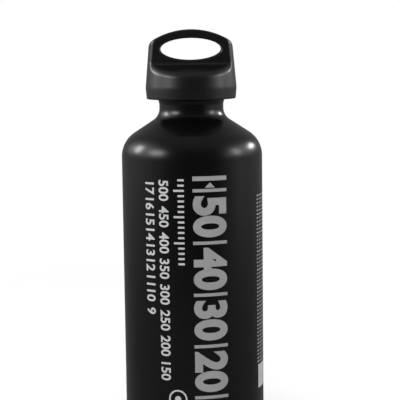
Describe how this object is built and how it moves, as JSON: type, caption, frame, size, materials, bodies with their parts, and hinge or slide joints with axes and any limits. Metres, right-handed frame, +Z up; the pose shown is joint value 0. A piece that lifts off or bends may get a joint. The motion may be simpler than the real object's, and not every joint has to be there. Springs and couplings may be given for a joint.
{
  "type": "camping fuel bottle",
  "caption": "Slim black aluminium fuel bottle with a sloped shoulder and narrow threaded neck, closed by a push-and-turn cap whose tall loop has an oval eyelet.",
  "frame": {"origin": "centre of the foot ring's plane, on the bottle's axis", "axes": "+Z up along the bottle's axis, +X along the carrying loop's width, +Y through the eyelet"},
  "size_m": [0.072, 0.072, 0.2092],
  "materials": {
    "bottle_paint": "satin black powder coat on aluminium, with light grey print",
    "cap_nylon": "moulded black nylon, fine-grained satin",
    "plug_nylon": "moulded dark grey nylon",
    "seal_rubber": "matt black nitrile",
    "spring_steel": "bright drawn stainless",
    "washer_plastic": "natural acetal"
  },
  "bodies": {
    "bottle": {"bottle_shell": "bottle_paint"},
    "seal": {"sealing_ring": "seal_rubber"},
    "plug": {"threaded_plug": "plug_nylon", "press_spring": "spring_steel"},
    "thrust": {"thrust_washer": "washer_plastic"},
    "cap": {"outer_cap": "cap_nylon", "retaining_ring": "spring_steel"}
  },
  "joints": [
    {"name": "cap_rise", "type": "slide", "parent": "bottle", "child": "seal", "axis": [0, 0, 1], "range_m": [0, 0.0121]},
    {"name": "cap_turn", "type": "hinge", "parent": "seal", "child": "plug", "pos_m": [0, 0, 0.17817], "axis": [0, 0, 1], "range_deg": [0, 1440]},
    {"name": "cap_press", "type": "slide", "parent": "plug", "child": "thrust", "axis": [0, 0, -1], "range_m": [0, 0.0018], "stiffness_N_per_m": 2400, "springref_m": -0.0035, "deforming": ["press_spring"]},
    {"name": "cap_free_spin", "type": "hinge", "parent": "thrust", "child": "cap", "pos_m": [0, 0, 0.18657], "axis": [0, 0, 1], "continuous": true}
  ],
  "couplings": [
    {"joint": "cap_rise", "follows": "cap_turn", "m_per_rad": 0.00047746}
  ]
}
